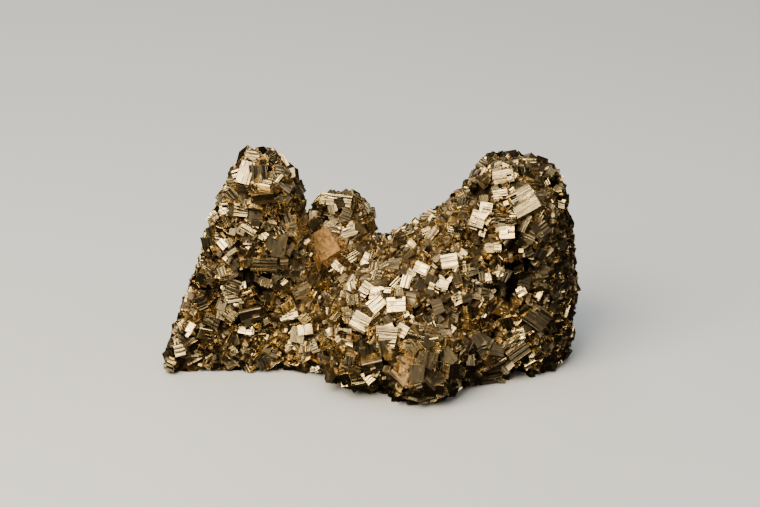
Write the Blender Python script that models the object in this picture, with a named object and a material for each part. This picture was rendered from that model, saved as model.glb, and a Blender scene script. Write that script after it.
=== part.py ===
"""A pyrite specimen: cube crystals grown together over a saddle-shaped mass, cut flat where it left its vein.

Run it with blender --background --python part.py. All the sizes below are millimetres, and MM turns them
into metres. The front of the specimen faces -Y, up is +Z, and the broken base lies on z = 0.
"""

import bpy
import numpy as np

MM = 0.001

# The mass under the crystals: tapered lumps, each from a start to an end point with a radius at both.
LUMPS = {
    "left_spine": ((-30.5, 4.0, 5.0), (-26.0, -1.0, 48.6), 11.5, 7.4),
    "left_foot": ((-32.5, 4.0, 2.5), (-50.0, -1.0, -1.5), 10.0, 4.4),
    "left_flank": ((-41.0, 2.0, 6.5), (-32.3, 0.0, 41.0), 8.0, 6.0),
    "left_inner": ((-20.0, 4.0, 4.5), (-20.5, 0.0, 46.5), 10.0, 4.0),
    "left_back": ((-30.0, 12.0, 4.0), (-27.0, 6.0, 34.0), 9.5, 5.5),
    "neck": ((-20.5, 4.0, 5.0), (-6.5, 0.0, 7.5), 10.5, 12.0),
    "back_mass": ((-18.5, 15.0, 1.5), (-7.8, 21.0, 27.5), 13.0, 8.2),
    "saddle": ((-7.5, 14.0, 13.5), (7.5, 6.0, 20.6), 12.0, 9.2),
    "bulge": ((2.0, -13.0, 8.0), (12.0, -17.5, 8.0), 11.5, 11.5),
    "lower_blocks": ((-4.5, -16.0, 3.5), (-3.5, -13.5, 8.5), 5.5, 6.5),
    "ramp_low": ((3.5, -7.0, 13.0), (20.0, -3.0, 24.5), 13.0, 13.0),
    "ramp_high": ((20.0, -3.0, 24.5), (34.5, 1.0, 39.5), 13.0, 11.8),
    "right_top": ((33.5, 6.0, 45.3), (42.2, 5.5, 44.8), 6.2, 5.7),
    "right_main": ((35.5, 0.0, 37.0), (38.0, 0.0, 10.0), 13.2, 12.6),
    "right_low": ((23.5, -7.0, 7.5), (39.5, 0.0, 3.0), 10.5, 8.0),
    "right_side": ((43.5, 5.0, 34.5), (46.3, 5.0, 13.0), 7.2, 6.6),
    "back_right": ((12.5, 11.0, 9.0), (37.0, 11.0, 18.0), 12.0, 12.5),
    "right_foot": ((37.0, -2.0, 3.0), (43.5, 0.5, 3.0), 9.0, 8.0),
    "under": ((-4.0, -1.0, 0.0), (26.0, 2.0, 0.0), 14.0, 15.0),
}
BLEND = 1.8          # how softly one lump runs into the next

# Cracks between the blocks of the mass: a line from one point to another, and the radius it is worn to.
CRACKS = {
    "centre_crack": ((-12.5, -17.5, 22.0), (-1.0, -29.5, 6.0), 2.3),
    "left_ledge": ((-47.0, -10.0, 13.5), (-17.0, -12.5, 14.5), 2.4),
    "upper_ledge": ((-34.0, -12.5, 25.5), (-22.0, -12.0, 25.0), 2.4),
    "inner_crack": ((-13.5, -15.5, 2.0), (-15.0, -7.0, 22.0), 2.4),
}

CELL = 5.9           # mesh size of the mass
ROUGH = 0.45         # how far its points are shaken out of the smooth shape
DEPTH = 0.5          # the crystals take up this much of the shape, and the mesh of the mass the rest
FLOOR = -5.0         # the mass is built down to here, then cut flat at zero
MIDDLE = (0.045, -0.055, 0.0)    # middle of the finished base, which becomes the origin
SEED = 15
SPACING = 5.8        # between the scattered crystals, before the local grain is taken into account
SIDE = (4.6, 6.3)    # shortest and longest edge of a scattered crystal, before the local grain
RISE = (0.7, 1.7)    # how far a crystal stands out of the mass

# How coarse the crystals are from place to place: a point on the mass and its factor.
GRAIN = (
    ((0.0, -26.0, 8.0), 1.15),
    ((-27.0, -2.0, 54.0), 0.8),
    ((-46.0, 0.0, 8.0), 0.85),
    ((-30.0, -8.0, 18.0), 0.9),
    ((34.0, -13.0, 30.0), 0.95),
    ((50.0, 3.0, 25.0), 0.85),
    ((38.0, 2.0, 52.0), 0.88),
    ((0.0, 4.0, 28.0), 0.85),
    ((0.0, 27.0, 18.0), 1.3),
    ((36.0, 25.0, 22.0), 1.35),
    ((-32.0, 20.0, 15.0), 1.3),
)

# The large crystals of the front: x and z of the place each grew on, its width, depth and height, then its
# turn about the upright, its lean back and its roll in degrees, and how many plates it is grown from.
LARGE = (
    (-28.5, 53.0, 8.0, 6.0, 6.0, -8, 34, -6, 3),
    (-25.5, 56.0, 6.5, 6.0, 4.5, -12, 58, 8, 1),
    (-26.0, 48.0, 5.0, 5.0, 3.5, 6, -18, -4, 1),
    (-20.0, 38.5, 4.5, 5.0, 5.5, 16, 6, 2, 1),
    (-23.0, 34.0, 5.5, 5.0, 6.0, 12, 10, 14, 3),
    (-26.0, 29.0, 6.5, 5.0, 3.5, 4, 10, 4, 3),
    (-30.0, 15.5, 5.5, 5.0, 4.5, 8, -10, -12, 1),
    (-46.0, 0.5, 3.5, 4.0, 5.5, -8, -4, -32, 2),
    (-2.5, 14.0, 5.0, 6.0, 5.5, 4, 6, -10, 2),
    (-6.0, 12.0, 4.0, 6.0, 7.5, -24, 4, 10, 3),
    (-0.5, 9.0, 5.0, 6.0, 7.0, 8, -16, -12, 3),
    (-3.0, 5.0, 6.5, 6.0, 4.0, -4, 24, -14, 1),
    (-8.0, 10.0, 3.0, 5.0, 7.5, 30, -14, 4, 1),
    (8.5, 10.5, 6.0, 6.0, 7.5, 6, 8, 4, 3),
    (4.5, 15.5, 5.5, 5.0, 4.0, -4, 10, -10, 2),
    (14.0, 13.5, 5.0, 5.0, 4.0, 6, 10, 10, 1),
    (1.5, 14.5, 3.0, 4.0, 7.5, 26, 10, -36, 1),
    (-2.5, 19.0, 4.5, 5.0, 4.5, -18, 26, 20, 1),
    (14.0, 25.5, 6.0, 5.0, 3.5, 10, -20, 16, 3),
    (-11.5, 25.5, 7.0, 7.0, 7.0, 6, 22, 44, 1),
    (-1.0, 26.0, 5.5, 6.0, 5.5, -20, 30, 18, 2),
    (-9.0, 35.5, 8.0, 6.0, 3.5, -8, 56, 4, 1),
    (38.0, 46.5, 6.5, 7.0, 7.0, -6, 38, -32, 3),
    (32.5, 51.0, 5.0, 5.0, 4.0, -10, 42, -14, 2),
    (38.5, 18.5, 6.0, 6.0, 5.5, 12, 6, 40, 3),
    (27.5, 8.5, 8.0, 7.0, 4.0, -12, 6, 32, 3),
    (33.0, 7.5, 5.5, 6.0, 6.0, 16, 2, 34, 3),
)


def body_distance(points):
    """Distance from each point to the mass, negative inside: soft least of the lumps, opened at the cracks."""
    lumps = list(LUMPS.values())
    start, end = np.array([lump[0] for lump in lumps]), np.array([lump[1] for lump in lumps])
    thick, thin = np.array([lump[2] for lump in lumps]), np.array([lump[3] for lump in lumps])
    along = end - start
    offset = points[:, None, :] - start
    share = np.clip((offset * along).sum(-1) / (along ** 2).sum(-1), 0.0, 1.0)
    reach = np.linalg.norm(offset - share[..., None] * along, axis=-1) - (thick + share * (thin - thick))
    nearest = reach.min(axis=1)
    mass = nearest - BLEND * np.log(np.exp((nearest[:, None] - reach) / BLEND).sum(axis=1))
    for first, last, radius in CRACKS.values():
        line = np.subtract(last, first)
        offset = points - np.array(first)
        share = np.clip(offset @ line / (line @ line), 0.0, 1.0)
        mass = np.maximum(mass, radius - np.linalg.norm(offset - share[:, None] * line, axis=1))
    return mass


def outward(points):
    """Unit direction away from the mass at each point, from the slope of the distance."""
    steps = 0.3 * np.eye(3)
    slope = np.stack([body_distance(points + step) - body_distance(points - step) for step in steps], axis=1)
    return slope / np.linalg.norm(slope, axis=1, keepdims=True)


def on_surface(points):
    """The points moved onto the surface of the mass."""
    for _ in range(5):
        points = points - outward(points) * body_distance(points)[:, None]
    return points


def front_points(places):
    """Where a line running in +Y from the front first meets the mass, at each (x, z) of places."""
    depths = np.arange(-34.0, 30.0, 0.25)
    points = np.stack([np.repeat(places[:, :1], len(depths), axis=1), np.tile(depths, (len(places), 1)),
                       np.repeat(places[:, 1:], len(depths), axis=1)], axis=-1)
    inside = body_distance(points.reshape(-1, 3)).reshape(len(places), -1) < 0.0
    return on_surface(points[np.arange(len(places)), inside.argmax(axis=1)])


def grain(points):
    """Coarseness of the crystals at each point, blended from the nearest entries of GRAIN."""
    at, factor = np.array([entry[0] for entry in GRAIN]), np.array([entry[1] for entry in GRAIN])
    weight = 1.0 / (np.linalg.norm(points[:, None, :] - at, axis=-1) + 2.0) ** 3
    return (weight * factor).sum(axis=1) / weight.sum(axis=1)


def surface_net(cell, low, high):
    """Closed triangle mesh of the mass, with one vertex in each grid cell that the surface crosses."""
    axes = [np.arange(a, b + cell, cell) for a, b in zip(low, high)]
    grid = np.stack(np.meshgrid(*axes, indexing="ij"), axis=-1)
    value = body_distance(grid.reshape(-1, 3)).reshape(grid.shape[:3])
    value = np.maximum(value + DEPTH, FLOOR - grid[..., 2])
    inside = value < 0.0
    shape = np.array(value.shape) - 1
    total, count = np.zeros((*shape, 3)), np.zeros(shape)
    corners = [np.array(c) for c in np.ndindex(2, 2, 2)]
    for a in corners:
        for axis in range(3):
            if a[axis]:
                continue
            b = a.copy()
            b[axis] = 1
            from_a = tuple(slice(i, i + n) for i, n in zip(a, shape))
            from_b = tuple(slice(i, i + n) for i, n in zip(b, shape))
            crossed = inside[from_a] != inside[from_b]
            fall = np.where(crossed, value[from_a] - value[from_b], 1.0)
            share = (value[from_a] / fall)[..., None]
            total += np.where(crossed[..., None], grid[from_a] + share * (grid[from_b] - grid[from_a]), 0.0)
            count += crossed
    used = count > 0
    index = np.full(tuple(shape), -1)
    index[used] = np.arange(used.sum())
    faces = []
    for axis in range(3):
        other = [i for i in range(3) if i != axis]
        lower = tuple(slice(0, -1) if i == axis else slice(1, -1) for i in range(3))
        upper = tuple(slice(1, None) if i == axis else slice(1, -1) for i in range(3))
        crossed = inside[lower] != inside[upper]
        first = np.argwhere(crossed) + np.array([0 if i == axis else 1 for i in range(3)])
        around = []
        for step in ((1, 1), (0, 1), (0, 0), (1, 0)):
            cell_at = first.copy()
            cell_at[:, other[0]] -= step[0]
            cell_at[:, other[1]] -= step[1]
            around.append(index[tuple(cell_at.T)])
        quads = np.stack(around, axis=1)
        flip = inside[lower][crossed] if axis == 1 else ~inside[lower][crossed]
        quads[flip] = quads[flip][:, ::-1]
        faces.append(quads)
    quads = np.concatenate(faces)
    points = total[used] / count[used][:, None]
    # Each vertex goes half way to the middle of its neighbours, which evens out the triangles.
    pairs = np.concatenate([quads[:, [i, (i + 1) % 4]] for i in range(4)])
    mean = np.zeros_like(points)
    np.add.at(mean, pairs[:, 0], points[pairs[:, 1]])
    mean /= np.bincount(pairs[:, 0], minlength=len(points))[:, None]
    points = (points + mean) / 2
    return points, np.concatenate([quads[:, [0, 1, 2]], quads[:, [0, 2, 3]]])


def turning(turn, lean, roll):
    """Matrix that rolls a crystal in its front plane, leans it back and turns it about the upright."""
    t, l, r = np.radians([turn, lean, roll])
    about_z = np.array([[np.cos(t), -np.sin(t), 0], [np.sin(t), np.cos(t), 0], [0, 0, 1]])
    about_x = np.array([[1, 0, 0], [0, np.cos(l), np.sin(l)], [0, -np.sin(l), np.cos(l)]])
    about_y = np.array([[np.cos(r), 0, np.sin(r)], [0, 1, 0], [-np.sin(r), 0, np.cos(r)]])
    return about_z @ about_x @ about_y


def tipped(normal, spin, tilt, toward):
    """Matrix whose third axis is the normal tipped by tilt toward the bearing toward, spun about itself."""
    side = np.cross(normal, (0.31, 0.87, 0.38))
    side /= np.linalg.norm(side)
    basis = np.stack([side, np.cross(normal, side), normal], axis=1)
    c, s = np.cos(spin), np.sin(spin)
    about_normal = np.array([[c, -s, 0], [s, c, 0], [0, 0, 1]])
    c, s = np.cos(tilt), np.sin(tilt)
    tip = np.array([[c, 0, s], [0, 1, 0], [-s, 0, c]])
    c, s = np.cos(toward), np.sin(toward)
    bearing = np.array([[c, -s, 0], [s, c, 0], [0, 0, 1]])
    return basis @ bearing @ tip @ bearing.T @ about_normal


def settle(point, normal, frame, sides, rise):
    """Centre of a crystal whose highest corner stands rise above the mass at the point."""
    reach = (np.abs(frame.T @ normal) * sides / 2).sum()
    return point + normal * (rise - reach)


def large_crystals():
    """Each large crystal's centre, frame, sides and number of plates, and the points they grew on."""
    table = np.array(LARGE)
    points = front_points(table[:, :2])
    normals = outward(points)
    crystals = []
    for row, point, normal in zip(table, points, normals):
        frame = turning(*row[5:8])
        rise = 0.8 + 0.16 * row[2:5].mean()
        crystals.append((settle(point, normal, frame, row[2:5], rise), frame, row[2:5], int(row[8])))
    return crystals, points


def scattered_crystals(taken):
    """Crystals thrown over the rest of the mass, each kept only where it is clear of the ones before it."""
    rng = np.random.default_rng(SEED)
    points = on_surface(rng.uniform((-56.0, -34.0, -1.0), (56.0, 34.0, 58.0), (9000, 3)))
    points = points[(np.abs(body_distance(points)) < 0.05) & (points[:, 2] > 0.4)]
    coarse = grain(points)
    kept, room = list(taken), [SPACING * 0.62] * len(taken)
    crystals = []
    for point, size in zip(points, coarse):
        clear = np.linalg.norm(np.array(kept) - point, axis=1)
        if (clear < (np.array(room) + SPACING * size) / 2).any():
            continue
        kept.append(point)
        room.append(SPACING * size)
        normal = outward(point[None])[0]
        spin, toward = rng.uniform(0.0, 2 * np.pi, 2)
        tilt = rng.uniform(0.0, 0.75)
        sides = size * rng.uniform(*SIDE) * rng.uniform(0.82, 1.12, 3)
        frame = tipped(normal, spin, tilt, toward)
        crystals.append((settle(point, normal, frame, sides, rng.uniform(*RISE)), frame, sides, 1))
    return crystals


def crystal_shape(sides, plates):
    """Points and faces of one crystal: a block, or plates stacked up its height, each set back a little."""
    half = np.array(sides) / 2
    heights = np.linspace(-half[2], half[2], plates + 1)
    setback = np.array([0.0, 0.09, 0.03, 0.12])[:plates] * sides[1]
    front = [(-half[1] + back, z) for i, back in enumerate(setback) for z in heights[i:i + 2]]
    outline = front + [(half[1], half[2]), (half[1], -half[2])]
    count = len(outline)
    points = [(x, y, z) for x in (-half[0], half[0]) for y, z in outline]
    walls = [(i, (i + 1) % count, count + (i + 1) % count, count + i) for i in range(count)]
    return np.array(points), walls + [tuple(range(count))[::-1], tuple(range(count, 2 * count))]


def solid(name, points, faces):
    """A mesh object made from points in millimetres, measured from MIDDLE."""
    mesh = bpy.data.meshes.new(name)
    points = (np.asarray(points) - MIDDLE) * MM
    mesh.from_pydata(points.tolist(), [], [list(map(int, face)) for face in faces])
    mesh.validate()
    return bpy.data.objects.new(name, mesh)


def hide(made):
    """Keep a cutter or guide out of the part and draw it as lines."""
    made.hide_render = True
    made.display_type = "WIRE"


def pyrite():
    """Brassy metal."""
    material = bpy.data.materials.new("pyrite")
    material.use_nodes = True
    shader = material.node_tree.nodes["Principled BSDF"]
    shader.inputs["Base Color"].default_value = (0.42, 0.31, 0.15, 1.0)
    shader.inputs["Metallic"].default_value = 0.9
    shader.inputs["Roughness"].default_value = 0.32
    return material


for old in list(bpy.data.objects):
    bpy.data.objects.remove(old, do_unlink=True)

scene_root = bpy.context.scene.collection
grown = bpy.data.collections.new("crystals")
scene_root.children.link(grown)

points, faces = surface_net(CELL, (-60.0, -38.0, -12.0), (60.0, 38.0, 64.0))
points = points + np.random.default_rng(SEED).uniform(-ROUGH, ROUGH, points.shape)
cluster = solid("pyrite_cluster", points, faces)
scene_root.objects.link(cluster)
cluster.data.materials.append(pyrite())

large, taken = large_crystals()
crystals = large + scattered_crystals(taken)
for number, (centre, frame, sides, plates) in enumerate(crystals):
    corners, walls = crystal_shape(sides, plates)
    crystal = solid(f"crystal_{number:03d}", corners @ frame.T + centre, walls)
    grown.objects.link(crystal)
    hide(crystal)

join = cluster.modifiers.new("crystals", "BOOLEAN")
join.operation = "UNION"
join.operand_type = "COLLECTION"
join.collection = grown
join.solver = "EXACT"

corners = [(x, y, z) for x in (-90.0, 90.0) for y in (-70.0, 70.0) for z in (-40.0, 0.0)]
sides = [(0, 1, 3, 2), (4, 6, 7, 5), (0, 4, 5, 1), (2, 3, 7, 6), (0, 2, 6, 4), (1, 5, 7, 3)]
cutter = solid("base_cutter", corners, sides)
scene_root.objects.link(cutter)
hide(cutter)
cut = cluster.modifiers.new("flat_base", "BOOLEAN")
cut.operation = "DIFFERENCE"
cut.object = cutter
cut.solver = "EXACT"
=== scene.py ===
# %% [markdown]
# # A pyrite specimen
#
# We dress one solid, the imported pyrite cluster, in a few thousand crystals. Pyrite grows as cubes whose faces
# carry fine parallel grooves, and here the cubes have grown through one another over a saddle-shaped mass with
# two horns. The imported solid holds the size, the mass and the flat base. It is made of a few hundred blocks,
# and everything finer than that is made in this script.
#
# Work in this order: read the frame, describe the mass as a distance, cover it with crystals from the largest
# to the smallest, give them their metal, then set up the floor, the lights and the camera.

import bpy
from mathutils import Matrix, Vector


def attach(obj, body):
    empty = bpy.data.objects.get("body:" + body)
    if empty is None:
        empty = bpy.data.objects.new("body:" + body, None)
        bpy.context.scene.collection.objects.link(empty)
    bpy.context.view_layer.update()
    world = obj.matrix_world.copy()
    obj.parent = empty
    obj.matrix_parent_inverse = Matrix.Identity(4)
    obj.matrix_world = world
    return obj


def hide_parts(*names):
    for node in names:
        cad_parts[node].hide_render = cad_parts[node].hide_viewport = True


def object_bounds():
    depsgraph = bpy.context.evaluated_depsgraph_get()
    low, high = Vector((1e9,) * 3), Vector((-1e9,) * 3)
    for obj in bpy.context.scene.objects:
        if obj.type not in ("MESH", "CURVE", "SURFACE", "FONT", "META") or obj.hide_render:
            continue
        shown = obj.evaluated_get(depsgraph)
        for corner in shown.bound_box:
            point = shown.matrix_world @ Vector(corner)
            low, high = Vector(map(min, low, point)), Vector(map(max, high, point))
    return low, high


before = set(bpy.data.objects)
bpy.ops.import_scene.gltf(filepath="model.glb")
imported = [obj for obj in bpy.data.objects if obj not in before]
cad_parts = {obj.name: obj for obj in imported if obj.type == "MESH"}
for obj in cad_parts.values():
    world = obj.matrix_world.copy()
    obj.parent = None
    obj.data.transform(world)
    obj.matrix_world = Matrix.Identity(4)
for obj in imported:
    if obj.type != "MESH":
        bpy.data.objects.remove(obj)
cad_box = [[float(x) for x in corner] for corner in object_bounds()]

import bpy
import numpy as np
from mathutils import Vector
from mathutils.kdtree import KDTree

MM = 0.001
print("the packed box in mm:", [[round(x / MM, 2) for x in corner] for corner in cad_box])

# %% [markdown]
# The mass under the crystals is a sum of tapered lumps. Each lump runs from one point to another and has a
# radius at both ends, and a few cracks are worn into it between the blocks. The numbers are the packed
# solid's, in millimetres, apart from a finer toe, shoulder and underside. The fissures are short and narrow.
# No crystal grows on their walls, so they show as thin dark gaps between the blocks.

# %% Lumps, cracks and fissures
LUMPS = np.array([
    (-30.5, 4.0, 5.0, -26.6, -1.0, 48.6, 11.5, 7.3),
    (-32.5, 2.0, 2.5, -50.0, -2.5, -1.5, 10.0, 4.4),
    (-41.0, 2.0, 6.5, -32.3, 0.0, 41.0, 8.1, 4.8),
    (-20.0, 4.0, 4.5, -21.2, 0.0, 44.5, 10.0, 3.3),
    (-30.0, 12.0, 4.0, -27.0, 6.0, 34.0, 9.5, 5.5),
    (-20.5, 4.0, 5.0, -6.5, 0.0, 7.5, 10.5, 12.0),
    (-18.5, 15.0, 1.5, -7.8, 21.0, 27.5, 13.0, 8.2),
    (-7.5, 14.0, 13.5, 7.5, 6.0, 20.6, 12.0, 9.2),
    (2.0, -13.0, 8.0, 12.0, -17.5, 8.0, 11.5, 11.5),
    (-4.5, -16.0, 3.5, -3.5, -13.5, 8.5, 5.5, 6.5),
    (3.5, -7.0, 13.0, 20.0, -3.0, 24.5, 13.0, 13.4),
    (20.0, -3.0, 24.5, 34.5, 1.0, 39.5, 13.0, 11.4),
    (33.5, 6.0, 45.9, 41.4, 5.5, 44.9, 6.2, 5.7),
    (35.5, 0.0, 37.0, 38.0, 0.0, 10.0, 12.4, 12.0),
    (23.5, -7.0, 7.5, 39.5, 0.0, 3.0, 10.5, 8.0),
    (43.5, 5.0, 33.0, 46.3, 5.0, 16.0, 6.1, 5.6),
    (12.5, 11.0, 9.0, 37.0, 11.0, 18.0, 12.0, 12.5),
    (37.0, -3.4, 3.0, 42.3, -1.0, 3.0, 7.5, 6.0),
    (-4.0, -1.0, 0.0, 26.0, 2.0, 0.0, 14.0, 15.0),
    (-45.5, -5.0, 8.0, -50.4, -7.5, 1.0, 3.2, 1.6),
    (8.5, 1.0, 27.5, 15.0, 0.0, 31.0, 5.0, 5.5),
])
CRACKS = np.array([
    (-12.5, -17.5, 22.0, -1.0, -29.5, 6.0, 2.3),
    (-47.0, -10.0, 13.5, -17.0, -12.5, 14.5, 2.4),
    (-34.0, -12.5, 25.5, -22.0, -12.0, 25.0, 2.4),
    (-13.5, -15.5, 2.0, -15.0, -7.0, 22.0, 2.4),
    (-14.5, -13.5, -1.5, -6.5, -20.5, -1.5, 4.6),
    (0.0, -25.5, -2.0, 0.5, -24.0, 1.5, 4.3),
    (17.0, -27.5, -2.0, 30.0, -18.0, -2.0, 4.8),
])
FISSURES = np.array([
    (35.4, -12.9, 39.5, 34.8, -13.1, 35.5, 1.2),
    (33.6, -13.2, 31.0, 35.2, -12.6, 27.0, 1.2),
    (35.4, -12.2, 24.5, 33.4, -12.8, 21.0, 1.1),
    (32.6, -13.2, 17.5, 30.4, -13.9, 13.0, 1.0),
    (38.2, -12.3, 32.5, 38.8, -12.1, 29.5, 1.0),
    (-31.5, -7.4, 26.4, -22.5, -5.7, 24.6, 1.0),
    (-7.4, -15.4, 17.1, 1.9, -24.7, 12.5, 1.0),
    (26.2, -2.3, 47.7, 28.0, -5.2, 47.6, 1.6),
    (2.2, -25.2, 11.6, 4.1, -25.7, 3.7, 1.4),
    (-42.8, -2.4, 20.8, -38.9, -5.4, 21.4, 0.9),
    (45.0, 0.0, 48.0, 46.2, -2.1, 45.1, 1.6),
    (37.9, -12.4, 1.8, 34.4, -12.7, 0.3, 1.3),
])
print(len(LUMPS), "lumps,", len(CRACKS), "cracks and", len(FISSURES), "fissures")

# %% [markdown]
# Nothing here is a mesh yet: body_distance says how far a point is from the surface, and that one function
# places every crystal of the specimen. A distance suits a mass like this. Lumps are joined by taking the nearest
# one, with the seam rounded off, and a crack is cut out by taking the larger of two distances. The slope of the
# distance points straight out of the stone, and a few steps along it bring a point onto the surface.

# %% The mass as a distance
BLEND = 1.8          # mm over which two lumps flow into one another
SLOPE_STEP = 0.3     # mm to either side of a point when the slope is measured
MIDDLE = np.array([0.045, -0.055, 0.0])     # mm, the place in these numbers that is the frame's origin


def line_distance(points, start, end):
    """Distance to the line from start to end: |p - a - t (b - a)| with t held between 0 and 1."""
    line = end - start
    share = np.clip((points - start) @ line / (line @ line), 0.0, 1.0)
    return np.linalg.norm(points - start - share[:, None] * line, axis=1)


def body_distance(points):
    """Distance to the soft union of the lumps, in mm and negative inside.

    For a lump from A to B, the nearest place on its axis is A + t (B - A), with t held between 0 and 1, and
    the distance is how far the point is from there less the radius at t. The lumps are joined by the soft
    minimum -b ln(sum exp(-d / b)), and a crack takes away what is nearer to its line than its radius.
    """
    start, end, thick, thin = LUMPS[:, :3], LUMPS[:, 3:6], LUMPS[:, 6], LUMPS[:, 7]
    along = end - start
    offset = points[:, None, :] - start
    share = np.clip((offset * along).sum(-1) / (along ** 2).sum(-1), 0.0, 1.0)
    reach = np.linalg.norm(offset - share[..., None] * along, axis=-1) - (thick + share * (thin - thick))
    nearest = reach.min(axis=1)
    mass = nearest - BLEND * np.log(np.exp((nearest[:, None] - reach) / BLEND).sum(axis=1))
    for crack in (*CRACKS, *FISSURES):
        mass = np.maximum(mass, crack[6] - line_distance(points, crack[:3], crack[3:6]))
    return mass


def outward(points):
    """Unit normal of the mass: the slope of body_distance by central differences, made one long."""
    steps = SLOPE_STEP * np.eye(3)
    slope = np.stack([body_distance(points + step) - body_distance(points - step) for step in steps], axis=1)
    return slope / np.maximum(np.linalg.norm(slope, axis=1, keepdims=True), 1e-9)


def on_surface(points):
    """Points slid along the normal onto the surface, five Newton steps of p - n d(p)."""
    for _ in range(5):
        points = points - outward(points) * body_distance(points)[:, None]
    return points


heart = np.array([[0.0, 0.0, 15.0]])
print("the heart of the specimen lies", round(-float(body_distance(heart)[0]), 1), "mm inside the mass")

# %% [markdown]
# Every mesh in the scene goes through build below. It takes points in millimetres, the faces grouped by how
# many corners they have, and what the material has to know. That is a tone from 0 to 1 for each crystal, which
# makes one crystal browner or more golden than the next, a rust share, how deep each corner lies, and a strip
# map. The depth is painted shade: the material darkens what lies deep in the gaps, and makes it duller. The strip
# map is a UV map in millimetres, with u along the growth grooves and v across them, so a groove has its real
# width on every face.

# %% A mesh from whole arrays
GAP_TOP, GAP_REACH = 0.6, 1.5      # mm over the mass where the painted shade begins, and how far down it is full
BASE_SKIN = 0.01                   # mm: what lies lower than this is the flat base


def build(name, points, groups, tone, rust, strip):
    """Mesh object from arrays: points (n, 3) in mm, groups of faces (k, corners), tone and rust per point,
    and strip, a list that holds one (k, corners, 2) array of groove coordinates for each group. The depth is
    (GAP_TOP - body_distance) / GAP_REACH, held between 0 and 1, and 0 on the base, which is no gap."""
    mesh = bpy.data.meshes.new(name)
    mesh.vertices.add(len(points))
    mesh.vertices.foreach_set("co", ((points - MIDDLE) * MM).astype(np.float32).ravel())
    corners = np.concatenate([group.ravel() for group in groups])
    sizes = np.concatenate([np.full(len(group), group.shape[1]) for group in groups])
    mesh.loops.add(len(corners))
    mesh.loops.foreach_set("vertex_index", corners.astype(np.int32))
    mesh.polygons.add(len(sizes))
    mesh.polygons.foreach_set("loop_start", (np.cumsum(sizes) - sizes).astype(np.int32))
    mesh.update(calc_edges=True)
    mesh.shade_flat()
    layer = mesh.uv_layers.new(name="strip")
    layer.data.foreach_set("uv", np.concatenate([s.reshape(-1, 2) for s in strip]).astype(np.float32).ravel())
    # Painted shade: the deeper a corner lies in a gap, the darker the material paints it.
    gap = np.clip((GAP_TOP - body_distance(points)) / GAP_REACH, 0.0, 1.0)
    for label, values in (("tone", tone), ("rust", rust), ("depth", gap * (points[:, 2] > BASE_SKIN))):
        attribute = mesh.attributes.new(label, "FLOAT", "POINT")
        attribute.data.foreach_set("value", np.asarray(values, np.float32))
    made = bpy.data.objects.new(name, mesh)
    bpy.context.scene.collection.objects.link(made)
    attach(made, "root")
    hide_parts("pyrite_cluster")
    print(name, len(points), "points", int((sizes - 2).sum()), "triangles")
    return made


# %% [markdown]
# Some places have rusted. Water leaves a thin coat of limonite, which is orange-brown and dull, on one large
# crystal in the saddle and more faintly on a few others. A rust spot is a centre, a radius and a strength, and
# the share falls off smoothly around it.

# %% Rust spots
RUST = np.array([
    (-11.5, 9.0, 25.5, 5.2, 1.6),
    (-19.0, -5.0, 38.5, 3.6, 0.9),
    (-22.5, -7.0, 33.0, 3.0, 0.35),
    (9.4, -26.5, 10.5, 4.2, 0.62),
    (11.5, -26.5, 16.0, 3.0, 0.45),
    (23.0, -20.0, 13.0, 3.0, 0.5),
    (42.0, -12.0, 40.5, 3.0, 0.5),
    (-35.5, -4.0, 45.5, 3.0, 0.45),
    (27.5, -17.0, 8.5, 4.5, 0.3),
    (-2.0, -23.0, 12.0, 5.0, 0.3),
    (-38.0, -7.0, 12.0, 6.0, 0.25),
])


def rust_share(points):
    """How rusty each point is: the largest of strength exp(-(r / radius)^2) over the spots."""
    away = np.linalg.norm(points[:, None, :] - RUST[:, :3], axis=-1)
    return (RUST[:, 4] * np.exp(-(away / RUST[:, 3]) ** 2)).max(axis=1)


print(len(RUST), "rust spots")

# %% [markdown]
# Now the first piece, the matrix: the fine massive pyrite that shows between the crystals and makes the broken
# base. It could be carved from a sphere, but a surface net fits any distance. Lay a grid over the mass, and put
# one vertex into each cell that the surface crosses, at the mean of its crossings. Then join the four cells
# around each crossed grid edge with a quad.

# %% A surface net
NET_LOW, NET_HIGH = (-58.0, -36.0, -3.0), (58.0, 36.0, 62.0)     # mm, a box around the whole mass
NET_DEPTH = 1.5     # mm that the net lies inside the mass
CRUMB = 0.22        # mm that its surface swells and sinks


def net_value(points):
    """What the net wraps, negative inside: max(body_distance + NET_DEPTH + crumbs, -z)."""
    x, y, z = points.T
    crumbs = CRUMB * np.sin(x * 1.9 + 1.1 * np.sin(z * 1.3)) * np.sin(y * 2.3 + z)
    return np.maximum(body_distance(points) + NET_DEPTH + crumbs, -z)


def crossing_means(grid, value, inside):
    """The mean of the crossings a + (b - a) v(a) / (v(a) - v(b)) on the twelve edges ab of each crossed cell, and
    the number of each cell's mean in that list."""
    shape = np.array(value.shape) - 1
    total, count = np.zeros((*shape, 3)), np.zeros(shape)
    for a in np.ndindex(2, 2, 2):
        for axis in range(3):
            if a[axis]:
                continue
            b = tuple(1 if i == axis else n for i, n in enumerate(a))
            at_a = tuple(slice(i, i + n) for i, n in zip(a, shape))
            at_b = tuple(slice(i, i + n) for i, n in zip(b, shape))
            crossed = inside[at_a] != inside[at_b]
            share = (value[at_a] / np.where(crossed, value[at_a] - value[at_b], 1.0))[..., None]
            total += np.where(crossed[..., None], grid[at_a] + share * (grid[at_b] - grid[at_a]), 0.0)
            count += crossed
    used = count > 0
    number = np.full(tuple(shape), -1)
    number[used] = np.arange(used.sum())
    return total[used] / count[used][:, None], number


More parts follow.
